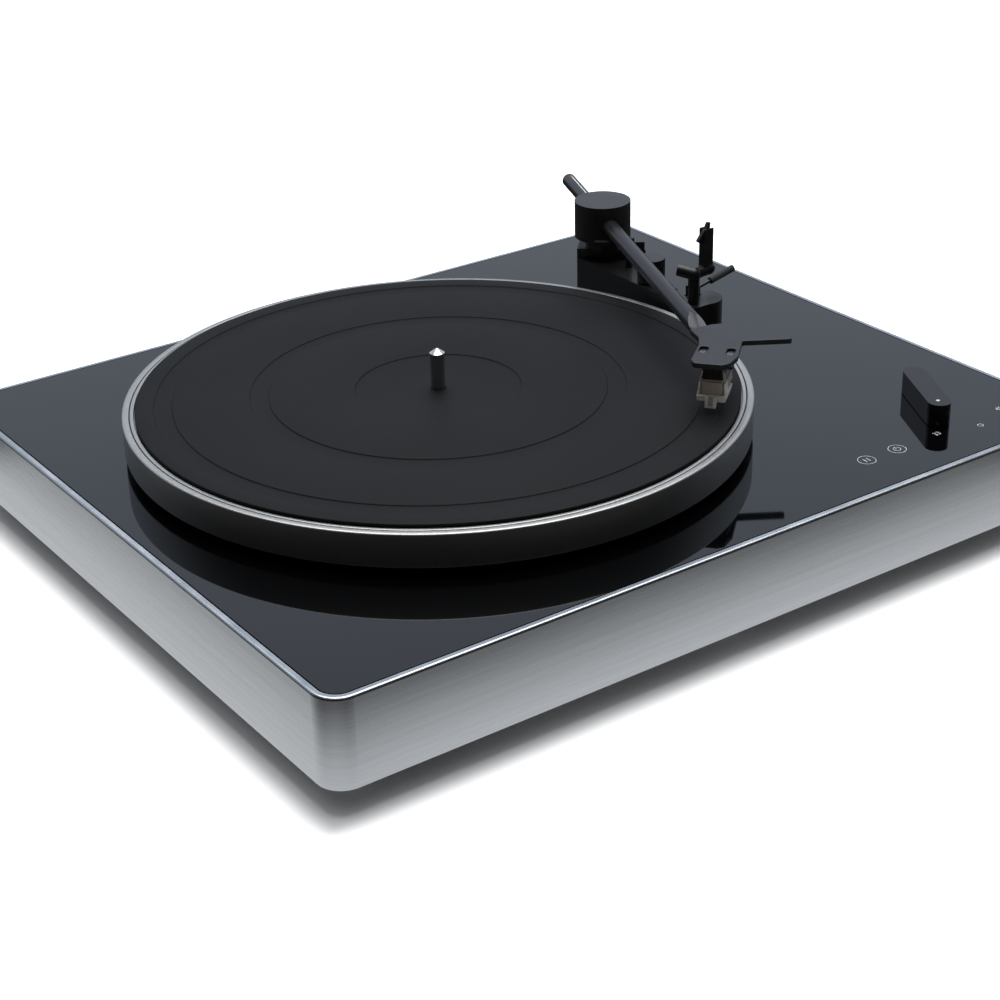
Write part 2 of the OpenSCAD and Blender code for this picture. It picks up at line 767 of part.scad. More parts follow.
// Round neck with the fork that carries the tilt pins
module arm_yoke() {
    color([0.08, 0.08, 0.08]) on_arm() difference() {
        union() {
            translate([0, 0, pad_h + slack - arm_rise]) cylinder(r = 9.5, h = arm_rise - pad_h - slack - 7.2);
            for (s = [-1, 1]) translate([-3, s * (fork_half + 1) - 1, -8]) cube([6, 2, 11.5]);
        }
        rotate([90, 0, 0]) cylinder(r = tilt_pin_r + running, h = 40, center = true);
        translate([0, 0, -arm_rise]) cylinder(r = arm_shaft_r, h = pad_h + 5);
    }
}

// Round housing that turns on the tilt pins and holds the tube and the balance rod
module pivot_housing() {
    color([0.06, 0.06, 0.06]) on_arm() difference() {
        translate([0, 0, housing_foot - arm_z]) cylinder(r = housing_r, h = housing_h);
        difference() {
            translate([0, 0, housing_foot - arm_z - 1]) cylinder(r = housing_r - 2.2, h = housing_h - 1.5);
            translate([-housing_r, -beam_half, -5.2]) cube([2 * housing_r, 2 * beam_half, 16]);
        }
        bar(2, 20, tube_r);
        bar(-20, 1, rod_r + running);
        pin_pair();
    }
}

// The space of the two tilt pins, from the housing's wall nearly to its middle
module pin_pair() {
    for (s = [-1, 1]) translate([0, s * (housing_r + beam_half - 0.6) / 2, 0]) rotate([90, 0, 0])
        cylinder(r = tilt_pin_r, h = housing_r - beam_half - 1, center = true);
}

// Pair of short pins that the tonearm tilts on
module tilt_pins() {
    color("silver") on_arm() pin_pair();
}

// Space over the tube's end, which slopes down to the headshell and then lies flush with it
module tube_slope() {
    rotate([90, 0, 0]) linear_extrude(20, center = true)
        polygon([[tube_end - 17.8, tube_r + 0.1], [tube_end - 10.2, head_top], [tube_end + 3, head_top],
                 [tube_end + 3, tube_r + 3], [tube_end - 17.8, tube_r + 3]]);
}

// Straight hollow tonearm tube
module arm_tube() {
    color([0.15, 0.15, 0.15]) on_arm() difference() {
        bar(2, tube_end, tube_r);
        bar(1, tube_end + 1, tube_r - 1);
        tube_slope();
    }
}

// Balance rod that slides in the rear of the housing
module balance_rod() {
    color([0.1, 0.1, 0.1]) on_arm() difference() {
        bar(-rod_out, -4, rod_r);
        bar(-rod_out - 1, -rod_out + 2, rod_r - 1.2);
    }
}

// Slot outline with round ends
module obround(between, width) {
    square([between, width], center = true);
    for (s = [-1, 1]) translate([s * between / 2, 0]) circle(width / 2);
}

// Flat headshell with its finger lift and two stepped slots
module headshell() {
    color([0.1, 0.1, 0.1]) difference() {
        on_head() translate([0, 0, -head_t]) linear_extrude(head_t)
            polygon([[14.6, -7.8], [14.6, 5.4], [12, 8.4], [3, 10.6], [-15.9, 9.5], [-23.4, 31.6],
                     [-26.8, 30.4], [-19.6, 8.6], [-33, 3.9], [-37.5, 0], [-33.4, -8.4],
                     [-25.1, -17.2], [-16, -11.2], [-8, -9.6], [10.7, -9.8]]);
        on_head() for (y = [-6.35, 6.35]) {
            translate([-2.05, y, -1.2]) linear_extrude(3) obround(4, 4.1);
            translate([-2.05, y, -head_t - 1]) linear_extrude(4) obround(4, 2.6);
        }
        on_arm() bar(tube_end - 20, tube_end, tube_r);
    }
    color([0.1, 0.1, 0.1]) on_arm() difference() {
        bar(tube_end - 16, tube_end + 1.5, tube_r - 1);
        tube_slope();
    }
}

// Two screws with nuts through the slots into the cartridge
module cartridge_screws() {
    color("silver") on_head() for (y = [-6.35, 6.35]) translate([0, y, 0]) {
        translate([0, 0, -7.5]) cylinder(r = 1.2, h = 7);
        difference() {
            translate([0, 0, -1.15]) cylinder(r = 1.6, h = 0.85);
            translate([0, 0, -0.4]) cube([4, 0.5, 0.6], center = true);
        }
        translate([0, 0, -head_t - 4.6]) cylinder(r = 2.2, h = 1.6, $fn = 6);
    }
}

// Cartridge: mounting flange, connector block and body
module cartridge_body() {
    color([0.62, 0.6, 0.55]) on_head() difference() {
        union() {
            translate([-9, -8.6, -head_t - 3]) cube([15.5, 17.2, 3]);
            translate([-12, -4, -head_t - 8]) cube([20.5, 8, 6]);
            translate([-12, -6.4, -head_t - 14.5]) cube([22.5, 12.8, 7.5]);
        }
        for (y = [-6.35, 6.35]) translate([0, y, -head_t - 4]) cylinder(r = 1.2, h = 5);
    }
}

// White stylus holder with the guard in front
module stylus_holder() {
    color([0.85, 0.85, 0.83]) on_head() difference() {
        union() {
            translate([-6, -7.6, -head_t - 17.4]) cube([17.4, 15.2, 2.9]);
            translate([10.5, -6.6, -head_t - 17.4]) cube([1.6, 13.2, 8]);
            translate([10.6, -2.8, -head_t - 20.2]) cube([2.8, 5.6, 5]);
        }
        translate([0.5, -2, -head_t - 18]) cube([9, 4, 2.2]);
    }
}

// Cantilever with its diamond tip
module stylus() {
    color("silver") on_head() {
        rod([1.2, 0, -head_t - 16.4], [9.4, 0, -head_t - 18.6], 0.4, $fn = 24);
        translate([9.2, 0, -head_t - 19.6]) cylinder(r1 = 0.15, r2 = 0.4, h = 1.2, $fn = 24);
    }
}

// Four thin leads behind the cartridge
module cartridge_leads() {
    color("firebrick") on_head() for (i = [-3 : 2 : 3])
        rod([-12.8, i * 1.1, -head_t - 5.5], [-19.2, i * 0.9 - 7.5, -head_t - 1.2], 0.45, $fn = 24);
}

// ---- Controls ----

// Long glossy speed knob with its shaft
module speed_knob() {
    color([0.05, 0.05, 0.05]) translate([knob_pivot[0], knob_pivot[1], 0]) {
        translate([0, 0, board_floor - 9]) cylinder(r = 3, h = glass_z + 4 - board_floor + 9);
        rotate(knob_angle) translate([knob_ahead, 0, glass_z + 0.4]) linear_extrude(knob_h)
            obround(knob_l - knob_w, knob_w);
    }
}

frame_band();
top_glass();
core_board();
bottom_cover();
cover_posts();
cover_screws();
foot_cups();
foot_pads();
foot_screws();
bearing_housing();
bearing_bush();
thrust_plate();
thrust_ball();
bearing_screws();
motor_can();
motor_plate();
motor_grommets();
motor_screws();
drive_belt();
main_board();
board_parts();
board_spacers();
motor_leads();
signal_leads();
touch_board();
speed_switch();
jack_panel();
phono_jacks();
power_inlet();
ground_post();
arm_base();
arm_base_screws();
arm_sleeve();
arm_rest();
platter_rim();
platter_plate();
platter_mat();
inner_platter();
spindle();
motor_pulley();
motor_shaft();
arm_shaft();
arm_yoke();
pivot_housing();
tilt_pins();
arm_tube();
headshell();
cartridge_screws();
cartridge_body();
stylus_holder();
stylus();
cartridge_leads();
balance_rod();
rest_latch();
cue_lever();
cue_grip();
lifter();
antiskate_dial();
speed_knob();
output_switch();
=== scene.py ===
"""Looks of the belt-drive record turntable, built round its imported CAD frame.

Lengths in the shape code are in millimetres and become metres in the mesh helpers. Places come
from the frame: the boxes of CAD nodes and the positions and axes of the joints.
"""

import json
import math

import bpy
from mathutils import Matrix, Vector
from mathutils.geometry import tessellate_polygon


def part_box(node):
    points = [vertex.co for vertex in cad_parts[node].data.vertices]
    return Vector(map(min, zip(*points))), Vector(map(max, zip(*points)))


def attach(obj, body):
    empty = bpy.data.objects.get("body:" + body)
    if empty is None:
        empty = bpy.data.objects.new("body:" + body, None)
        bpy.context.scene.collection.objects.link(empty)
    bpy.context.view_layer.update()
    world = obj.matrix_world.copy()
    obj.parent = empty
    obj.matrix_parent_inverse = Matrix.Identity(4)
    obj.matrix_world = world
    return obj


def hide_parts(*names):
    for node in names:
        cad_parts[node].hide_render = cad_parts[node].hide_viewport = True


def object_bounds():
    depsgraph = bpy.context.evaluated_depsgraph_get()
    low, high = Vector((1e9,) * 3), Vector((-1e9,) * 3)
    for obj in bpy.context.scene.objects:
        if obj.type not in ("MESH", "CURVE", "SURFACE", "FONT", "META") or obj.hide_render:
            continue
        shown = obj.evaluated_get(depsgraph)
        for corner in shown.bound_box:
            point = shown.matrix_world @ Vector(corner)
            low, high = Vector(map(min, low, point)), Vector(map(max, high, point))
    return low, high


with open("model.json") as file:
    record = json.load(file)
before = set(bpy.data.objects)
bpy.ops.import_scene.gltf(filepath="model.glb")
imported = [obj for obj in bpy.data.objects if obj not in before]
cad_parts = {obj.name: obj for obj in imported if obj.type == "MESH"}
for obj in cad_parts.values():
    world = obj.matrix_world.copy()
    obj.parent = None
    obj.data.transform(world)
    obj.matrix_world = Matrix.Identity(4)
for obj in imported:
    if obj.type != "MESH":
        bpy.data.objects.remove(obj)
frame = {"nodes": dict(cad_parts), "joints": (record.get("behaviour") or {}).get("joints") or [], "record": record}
CAD_LOW, CAD_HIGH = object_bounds()
MM = 0.001
JOINTS = {j["name"]: j for j in frame["joints"]}
NODES = frame["nodes"]


# ---- Places taken from the frame ----

def joint_place(name):
    """A joint's position in millimetres."""
    return Vector(JOINTS[name]["pos_m"]) / MM


def node_box(name):
    """Lowest and highest corner of a CAD node, in millimetres."""
    low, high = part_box(name)
    return low / MM, high / MM


GLASS_Z = node_box("top_glass")[1].z
SPINDLE = joint_place("platter_spin")
PIVOT = joint_place("arm_swing_turn")
KNOB = joint_place("speed_turn")
TILT_AXIS = Vector(JOINTS["arm_tilt_turn"]["axis"])
ARM_ANGLE = math.atan2(TILT_AXIS.x, -TILT_AXIS.y)
ARM_REACH = 197.9
HEAD_ANGLE = math.radians(-29)
HEAD_SIDE = -2.1
HEAD_TOP = 0.8


def shift(x, y, z):
    """Matrix that moves by millimetres."""
    return Matrix.Translation(Vector((x, y, z)) * MM)


def turn(angle, axis="Z"):
    """Matrix that turns about an axis, in radians."""
    return Matrix.Rotation(angle, 4, axis)


ON_ARM = shift(*PIVOT) @ turn(ARM_ANGLE)
ON_HEAD = ON_ARM @ shift(ARM_REACH, HEAD_SIDE, HEAD_TOP) @ turn(HEAD_ANGLE)


# ---- Mesh helpers ----

SHARP_ANGLE = 38  # degrees; a smooth-shaded mesh keeps its steeper edges sharp


def add_mesh(name, verts, faces, material, place=Matrix(), body=None, sharp=SHARP_ANGLE):
    """A smooth-shaded mesh object from millimetre points, moved by place and riding on a body."""
    mesh = bpy.data.meshes.new(name)
    mesh.from_pydata([place @ (Vector(v) * MM) for v in verts], [], faces)
    mesh.validate()
    mesh.materials.append(material)
    mesh.polygons.foreach_set("use_smooth", [True] * len(mesh.polygons))
    mesh.set_sharp_from_angle(angle=math.radians(sharp))
    piece = bpy.data.objects.new(name, mesh)
    bpy.context.scene.collection.objects.link(piece)
    if body:
        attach(piece, body)
    return piece


def fillet(points, radii, steps=6):
    """A closed outline with its corners rounded; radii is one number or one for each corner."""
    count = len(points)
    if not hasattr(radii, "__len__"):
        radii = [radii] * count
    out = []
    for i in range(count):
        before, corner, after = (Vector(points[(i + k) % count]) for k in (-1, 0, 1))
        a, b = before - corner, after - corner
        half = a.angle(b) / 2
        if radii[i] <= 0 or half > math.radians(89):
            out.append(corner)
            continue
        cut = min(radii[i] / math.tan(half), 0.49 * a.length, 0.49 * b.length)
        radius = cut * math.tan(half)
        centre = corner + (a.normalized() + b.normalized()).normalized() * (radius / math.sin(half))
        start, end = corner + a.normalized() * cut - centre, corner + b.normalized() * cut - centre
        sweep = start.angle_signed(end)
        for k in range(steps + 1):
            t = -sweep * k / steps
            out.append(centre + Vector((start.x * math.cos(t) - start.y * math.sin(t),
                                        start.x * math.sin(t) + start.y * math.cos(t))))
    return out


def circle(radius, x=0, y=0, count=48):
    """A round outline."""
    return [Vector((x + radius * math.cos(2 * math.pi * k / count),
                    y + radius * math.sin(2 * math.pi * k / count))) for k in range(count)]


def area(loop):
    """Signed area of an outline, positive when it runs counter-clockwise."""
    return sum(a.x * b.y - b.x * a.y for a, b in zip(loop, loop[1:] + loop[:1])) / 2


def inset(loop, distance):
    """The outline moved to its left by a distance, corner by corner."""
    moved = []
    for i, p in enumerate(loop):
        d1 = (p - loop[i - 1]).normalized()
        d2 = (loop[(i + 1) % len(loop)] - p).normalized()
        n1, n2 = Vector((-d1.y, d1.x)), Vector((-d2.y, d2.x))
        moved.append(p + (n1 + n2) * (distance / (1 + max(n1.dot(n2), -0.5))))
    return moved


def plate(name, outlines, low, high, bevel, material, place=Matrix(), body=None, steps=3):
    """A flat rounded body between two heights; the first outline is its rim, the others are holes."""
    loops = []
    for i, outline in enumerate(outlines):
        loop = [Vector((p[0], p[1])) for p in outline]
        loops.append(loop if (area(loop) > 0) == (i == 0) else loop[::-1])
    rounding = [math.pi / 2 * k / steps for k in range(steps + 1)]
    levels = [(bevel * (1 - math.sin(t)), low + bevel * (1 - math.cos(t))) for t in rounding]
    levels += [(bevel * (1 - math.cos(t)), high - bevel * (1 - math.sin(t))) for t in rounding]
    verts, faces = [], []
    per_level = sum(len(loop) for loop in loops)
    for distance, z in levels:
        for loop in loops:
            verts += [(p.x, p.y, z) for p in inset(loop, distance)]
    start = 0
    for loop in loops:
        count = len(loop)
        for level in range(len(levels) - 1):
            row = level * per_level + start
            for k in range(count):
                m = (k + 1) % count
                faces.append((row + k, row + m, row + per_level + m, row + per_level + k))
        start += count
    for level, flip in ((0, True), (len(levels) - 1, False)):
        row = level * per_level
        rings, first = [], row
        for loop in loops:
            rings.append([Vector(v) for v in verts[first:first + len(loop)]])
            first += len(loop)
        for tri in tessellate_polygon(rings):
            a, b, c = (verts[row + t] for t in tri)
            up = (b[0] - a[0]) * (c[1] - a[1]) - (b[1] - a[1]) * (c[0] - a[0]) > 0
            tri = tuple(row + t for t in tri)
            faces.append(tri if up != flip else tri[::-1])
    piece = add_mesh(name, verts, faces, material, place, body)
    for face in piece.data.polygons:
        if abs(face.normal.dot(place.to_3x3() @ Vector((0, 0, 1)))) > 0.999:
            face.use_smooth = False
    return piece


def lathe(name, profile, material, place=Matrix(), body=None, segments=96, sharp=SHARP_ANGLE):
    """A profile of (radius, height) points turned about local Z; points on the axis close it."""
    verts, faces, rows = [], [], []
    for radius, height in profile:
        if radius < 1e-6:
            rows.append([len(verts)] * segments)
            verts.append((0, 0, height))
        else:
            rows.append(list(range(len(verts), len(verts) + segments)))
            verts += [(radius * math.cos(2 * math.pi * k / segments),
                       radius * math.sin(2 * math.pi * k / segments), height) for k in range(segments)]
    open_ends = profile[0][0] < 1e-6 and profile[-1][0] < 1e-6
    for i in range(len(rows) - (1 if open_ends else 0)):
        lower, upper = rows[i], rows[(i + 1) % len(rows)]
        for k in range(segments):
            m = (k + 1) % segments
            face = []
            for v in (lower[k], lower[m], upper[m], upper[k]):
                if v not in face:
                    face.append(v)
            if len(face) > 2:
                faces.append(tuple(face))
    return add_mesh(name, verts, faces, material, place, body, sharp)


# ---- Materials ----

class Finish:
    """A procedural material with short ways to wire textures into its shader."""

    def __init__(self, name, color, metallic=0.0, roughness=0.4):
        self.material = bpy.data.materials.new(name)
        self.material.use_nodes = True
        self.tree = self.material.node_tree
        self.shader = self.tree.nodes["Principled BSDF"]
        self.set("Base Color", (*color, 1))
        self.set("Metallic", metallic)
        self.set("Roughness", roughness)
        self.place = self.tree.nodes.new("ShaderNodeTexCoord").outputs["Object"]

    def set(self, socket, value):
        self.shader.inputs[socket].default_value = value

    def link(self, output, socket):
        self.tree.links.new(output, self.shader.inputs[socket])

    def node(self, kind, inputs=(), **settings):
        made = self.tree.nodes.new(kind)
        for key, value in settings.items():
            setattr(made, key, value)
        for socket, value in dict(inputs).items():
            if isinstance(value, bpy.types.NodeSocket):
                self.tree.links.new(value, made.inputs[socket])
            else:
                made.inputs[socket].default_value = value
        return made

    def noise(self, size, stretch=(1, 1, 1), detail=4.0):
        """Noise with features of about size millimetres, drawn out by stretch."""
        scale = tuple(1 / (size * MM * s) for s in stretch)
        mapped = self.node("ShaderNodeMapping", {"Vector": self.place, "Scale": scale})
        return self.node("ShaderNodeTexNoise", {"Vector": mapped.outputs[0], "Scale": 1.0, "Detail": detail}
                         ).outputs["Fac"]

    def span(self, value, low, high, start=0.3, stop=0.7, easing="LINEAR"):
        """The value mapped from start..stop to low..high."""
        return self.node("ShaderNodeMapRange", {"Value": value, "From Min": start, "From Max": stop,
                                                "To Min": low, "To Max": high},
                         interpolation_type=easing).outputs[0]

    def combine(self, operation, a, b):
        """Sum, product or the like of two values."""
        return self.node("ShaderNodeMath", {0: a, 1: b}, operation=operation).outputs[0]

    def around(self, centre):
        """Distance from an upright axis through centre, and height above centre, in metres."""
        offset = self.node("ShaderNodeMapping", {"Vector": self.place, "Location": -centre * MM})
        parts = self.node("ShaderNodeSeparateXYZ", {0: offset.outputs[0]}).outputs
        flat = self.node("ShaderNodeCombineXYZ", {0: parts[0], 1: parts[1]}).outputs[0]
        radius = self.node("ShaderNodeVectorMath", {0: flat}, operation="LENGTH").outputs["Value"]
        return radius, parts[2]

    def mix(self, factor, color_a, color_b):
        made = self.tree.nodes.new("ShaderNodeMix")
        made.data_type = "RGBA"
        self.tree.links.new(factor, made.inputs[0])
        for socket, value in ((6, color_a), (7, color_b)):
            if isinstance(value, bpy.types.NodeSocket):
                self.tree.links.new(value, made.inputs[socket])
            else:
                made.inputs[socket].default_value = (*value, 1)
        return made.outputs[2]

    def bump(self, height, distance, strength=1.0, under=None):
        inputs = {"Height": height, "Distance": distance * MM, "Strength": strength}
        if under is not None:
            inputs["Normal"] = under
        made = self.node("ShaderNodeBump", inputs)
        self.link(made.outputs[0], "Normal")
        return made.outputs[0]


def scaled(color, factor):
    """A colour made lighter or darker."""
    return tuple(min(1.0, c * factor) for c in color)


def grained(name, color, roughness, grain=0.5, bump=0.02, metallic=0.0, vary=0.12, spread=0.08):
    """Moulded, cast or painted surface: fine grain in the bump, with soft changes of tone and gloss."""
    look = Finish(name, color, metallic, roughness)
    fine = look.noise(grain)
    broad = look.noise(grain * 60, detail=2)
    tone = look.mix(look.span(broad, 0, 1), scaled(color, 1 - vary), scaled(color, 1 + vary))
    look.link(tone, "Base Color")
    look.link(look.span(broad, roughness - spread / 2, roughness + spread / 2), "Roughness")
    look.bump(fine, bump, 0.6)
    return look


def brushed(name, color, roughness, stretch, bump=0.004, grain=0.16):
    """Metal with brush lines: noise drawn out along the brushing, in tone, gloss and bump."""
    look = Finish(name, color, 1.0, roughness)
    lines = look.noise(grain, stretch, detail=6)
    bands = look.noise(grain * 14, stretch, detail=3)
    tone = look.combine("ADD", look.span(lines, 0, 0.6), look.span(bands, 0, 0.4))
    look.link(look.mix(tone, scaled(color, 0.86), scaled(color, 1.1)), "Base Color")
    look.link(look.span(lines, roughness - 0.05, roughness + 0.07), "Roughness")
    look.bump(lines, bump, 0.5)
    return look


def band_aluminium():
    """Side band: brush lines run round the plinth."""
    look = brushed("brushed_aluminium", (0.455, 0.48, 0.505), 0.27, (90, 90, 1))
    look.set("Anisotropic", 0.6)
    tangent = look.node("ShaderNodeTangent", direction_type="RADIAL", axis="Z").outputs[0]
    look.link(tangent, "Tangent")
    return look.material


def black_glass():
    """Polished glass with a black back, faintly smeared by wiping."""
    look = Finish("black_glass", (0.0015, 0.0016, 0.002), 0.0, 0.03)
    look.set("IOR", 1.5)
    look.set("Specular Tint", (0.93, 0.97, 1.0, 1))
    wiped = look.noise(55, (1, 2.4, 1), detail=3)
    look.link(look.span(wiped, 0.015, 0.045), "Roughness")
    return look.material


def mat_rubber():
    """Matt rubber with a fine turned grain round the spindle."""
    look = Finish("mat_rubber", (0.006, 0.0066, 0.0078), 0.0, 0.66)
    look.set("Specular IOR Level", 0.12)
    radius = look.around(SPINDLE)[0]
    rings = look.node("ShaderNodeTexNoise", {"W": radius, "Scale": 2600.0, "Detail": 2.0},
                      noise_dimensions="1D").outputs["Fac"]
    grain = look.noise(0.45)
    broad = look.noise(60, detail=2)
    tone = look.mix(look.span(broad, 0, 1), (0.0052, 0.0058, 0.007), (0.0068, 0.0074, 0.0086))
    look.link(tone, "Base Color")
    look.link(look.span(grain, 0.55, 0.7), "Roughness")
    first = look.bump(rings, 0.02, 0.35)
    look.bump(grain, 0.03, 0.4, under=first)
    return look.material


def turned_metal(name, color, roughness, centre):
    """Metal turned about an upright axis: very fine rings of tone, with grain in bump and gloss."""
    look = Finish(name, color, 1.0, roughness)
    radius, height = look.around(centre)
    across = look.combine("ADD", radius, height)
    rings = look.node("ShaderNodeTexNoise", {"W": across, "Scale": 5200.0, "Detail": 3.0},
                      noise_dimensions="1D").outputs["Fac"]
    grain = look.noise(0.3)
    look.link(look.mix(look.span(rings, 0, 1), scaled(color, 0.92), scaled(color, 1.06)), "Base Color")
    look.link(look.span(grain, roughness - 0.05, roughness + 0.05), "Roughness")
    look.bump(grain, 0.008, 0.5)
    return look.material


def fibreboard():
    """Raw fibreboard: pressed fibres of mixed browns."""
    look = Finish("fibreboard", (0.35, 0.22, 0.12), 0.0, 0.85)
    fibres = look.noise(1.2, (6, 1, 1), detail=8)
    look.link(look.mix(fibres, (0.22, 0.13, 0.07), (0.5, 0.34, 0.2)), "Base Color")
    look.bump(fibres, 0.2, 0.6)
    return look.material


def circuit_green():
    """Green solder mask over a faint net of copper tracks."""
    look = Finish("circuit_board", (0.02, 0.12, 0.06), 0.0, 0.3)
    cells = look.node("ShaderNodeMapping", {"Vector": look.place, "Scale": (160, 160, 1)})
    tracks = look.node("ShaderNodeTexVoronoi", {"Vector": cells.outputs[0], "Scale": 1.0},
                       distance="CHEBYCHEV", feature="DISTANCE_TO_EDGE").outputs["Distance"]
    tone = look.mix(look.span(tracks, 1, 0, 0.05, 0.08), (0.015, 0.1, 0.045), (0.05, 0.22, 0.1))
    look.link(tone, "Base Color")
    look.bump(tracks, 0.03, 0.3)
    return look.material


def gloss_black():
    """Piano gloss with a weak reflection."""
    look = grained("gloss_black", (0.006, 0.006, 0.007), 0.09, 0.8, 0.002)
    look.set("Specular IOR Level", 0.32)
    return look.material


MATERIALS = {
    "brushed_aluminium": band_aluminium(),
    "black_glass": black_glass(),
    "fibreboard": fibreboard(),
    "cover_metal": grained("cover_metal", (0.03, 0.03, 0.032), 0.5, 0.6, 0.03).material,
    "brass": brushed("brass", (0.78, 0.6, 0.28), 0.25, (1, 1, 0.3)).material,
    "screw_steel": brushed("screw_steel", (0.5, 0.5, 0.51), 0.35, (1, 1, 1)).material,
    "polished_steel": brushed("polished_steel", (0.72, 0.72, 0.73), 0.12, (6, 6, 1), 0.001).material,
    "bearing_metal": brushed("bearing_metal", (0.7, 0.7, 0.71), 0.3, (6, 6, 1)).material,
    "bronze": grained("bronze", (0.6, 0.38, 0.18), 0.4, 0.2, 0.02, 1.0).material,
    "white_plastic": grained("white_plastic", (0.75, 0.75, 0.72), 0.45, 0.4).material,
    "black_rubber": grained("black_rubber", (0.02, 0.02, 0.02), 0.75, 0.3, 0.03).material,
    "mat_rubber": mat_rubber(),
    "circuit_board": circuit_green(),
    "black_plastic": grained("black_plastic", (0.006, 0.006, 0.007), 0.38, 0.3, 0.012).material,
    "lead_sleeve": grained("lead_sleeve", (0.3, 0.04, 0.03), 0.45, 0.5).material,
    "platter_metal": turned_metal("platter_metal", (0.42, 0.42, 0.41), 0.38, SPINDLE),
    "arm_base_paint": grained("arm_base_paint", (0.008, 0.008, 0.009), 0.36, 0.28, 0.02).material,
    "arm_metal": grained("arm_metal", (0.03, 0.031, 0.034), 0.32, 0.2, 0.006, 0.6).material,
    "cartridge_plastic": grained("cartridge_plastic", (0.2, 0.165, 0.135), 0.45, 0.25, 0.01).material,
    "stylus_plastic": grained("stylus_plastic", (0.36, 0.35, 0.32), 0.4, 0.25, 0.008).material,
    "gloss_black": gloss_black(),
}


def dress_cad_nodes():
    """Every CAD node gets its record slot's material."""
    for entry in frame["record"]["subparts"]:
        node = NODES[entry["node"]]
        node.data.materials.clear()
        node.data.materials.append(MATERIALS[entry["material_slot"]])


def soften(node_name, width, angle=30):
    """Small rounded edges on a CAD node, made by modifiers, so that its own mesh stays as it is."""
    node = NODES[node_name]
    flat = node.modifiers.new("flat", "DECIMATE")
    flat.decimate_type = "DISSOLVE"
    flat.angle_limit = math.radians(0.5)
    edge = node.modifiers.new("edge", "BEVEL")
    edge.width = width * MM
    edge.segments = 2
    edge.limit_method = "ANGLE"
    edge.angle_limit = math.radians(angle)
    edge.harden_normals = True
    if "custom_normal" in node.data.attributes:
        node.data.attributes.remove(node.data.attributes["custom_normal"])
    node.data.polygons.foreach_set("use_smooth", [True] * len(node.data.polygons))
    node.data.set_sharp_from_angle(angle=math.radians(angle))


EDGE_WIDTHS = {
    "speed_knob": 0.8, "pivot_housing": 0.5, "arm_base": 0.5, "arm_yoke": 0.4, "antiskate_dial": 0.25,
    "arm_rest": 0.3, "rest_latch": 0.25, "balance_rod": 0.5, "jack_panel": 0.3, "foot_cups": 0.6,
    "foot_pads": 0.4, "power_inlet": 0.2, "output_switch": 0.2, "bottom_cover": 0.4,
}

dress_cad_nodes()
shaded_steel = brushed("shaded_steel", (0.16, 0.155, 0.15), 0.3, (1, 1, 1))
NODES["cartridge_screws"].data.materials[0] = shaded_steel.material
for edged, edge_width in EDGE_WIDTHS.items():
    soften(edged, edge_width)


# ---- Pieces shaped for their looks ----

def stand_for(piece, slot, *nodes):
    """Hides the CAD nodes that a piece stands for; the piece and its record slot are not used."""
    if nodes:
        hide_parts(*nodes)


def part(slot):
    """The material of a record slot."""
    return MATERIALS[slot]


def rectangle(box, cut=0):
    """Corners of a rectangle given as (x0, x1, y0, y1), drawn in by cut."""
    x0, x1, y0, y1 = box
    return [(x0 + cut, y0 + cut), (x1 - cut, y0 + cut), (x1 - cut, y1 - cut), (x0 + cut, y1 - cut)]


def platter_pieces():
    """Rim, top plate and mat, turned with rounded edges."""
    place = shift(SPINDLE.x, SPINDLE.y, 0)
    segments = 288
    rim_low, rim_high = node_box("platter_rim")
    plate_low, plate_high = node_box("platter_plate")
    mat_low, mat_high = node_box("platter_mat")
    outer = (rim_high.x - rim_low.x) / 2
    inner, ledge = outer - 9, outer - 3.4
    rim = lathe("platter_rim_turned", fillet(
        [(inner, rim_low.z), (outer, rim_low.z), (outer, rim_high.z), (ledge, rim_high.z),
         (ledge, plate_low.z), (inner, plate_low.z)], [0.3, 0.7, 0.9, 0.3, 0, 0], 4),
        part("platter_metal"), place, "platter", segments)
    stand_for(rim, "platter_metal", "platter_rim")

    mat_r = (mat_high.x - mat_low.x) / 2
    plate_hole, plate_r, recess_r = 3.7, ledge - 0.4, mat_r + 0.5
    disc = lathe("platter_plate_turned", fillet(
        [(plate_hole, plate_low.z), (plate_r, plate_low.z), (plate_r, plate_high.z),
         (recess_r, plate_high.z), (recess_r, mat_low.z), (plate_hole, mat_low.z)],
        [0, 0, 0.3, 0.25, 0, 0], 3),
        part("platter_metal"), place, "platter", segments)
    stand_for(disc, "platter_metal", "platter_plate")

    mat_hole, label_r, slant = 3.8, 40, 0.4
    top, sunk = mat_high.z, mat_high.z - 0.5
    profile = [(mat_hole, mat_low.z), (mat_r, mat_low.z), (mat_r, top)]
    for outside, inside in ((135, 126), (90, 80.5)):
        profile += [(outside, top), (outside - slant, sunk), (inside + slant, sunk), (inside, top)]
    profile += [(label_r, top), (label_r - slant, sunk), (mat_hole, sunk)]
    mat = lathe("platter_mat_moulded", fillet(profile, [0, 0.1, 0.5] + [0.25] * 10 + [0], 3),
                part("mat_rubber"), place, "platter", segments)
    stand_for(mat, "mat_rubber", "platter_mat")


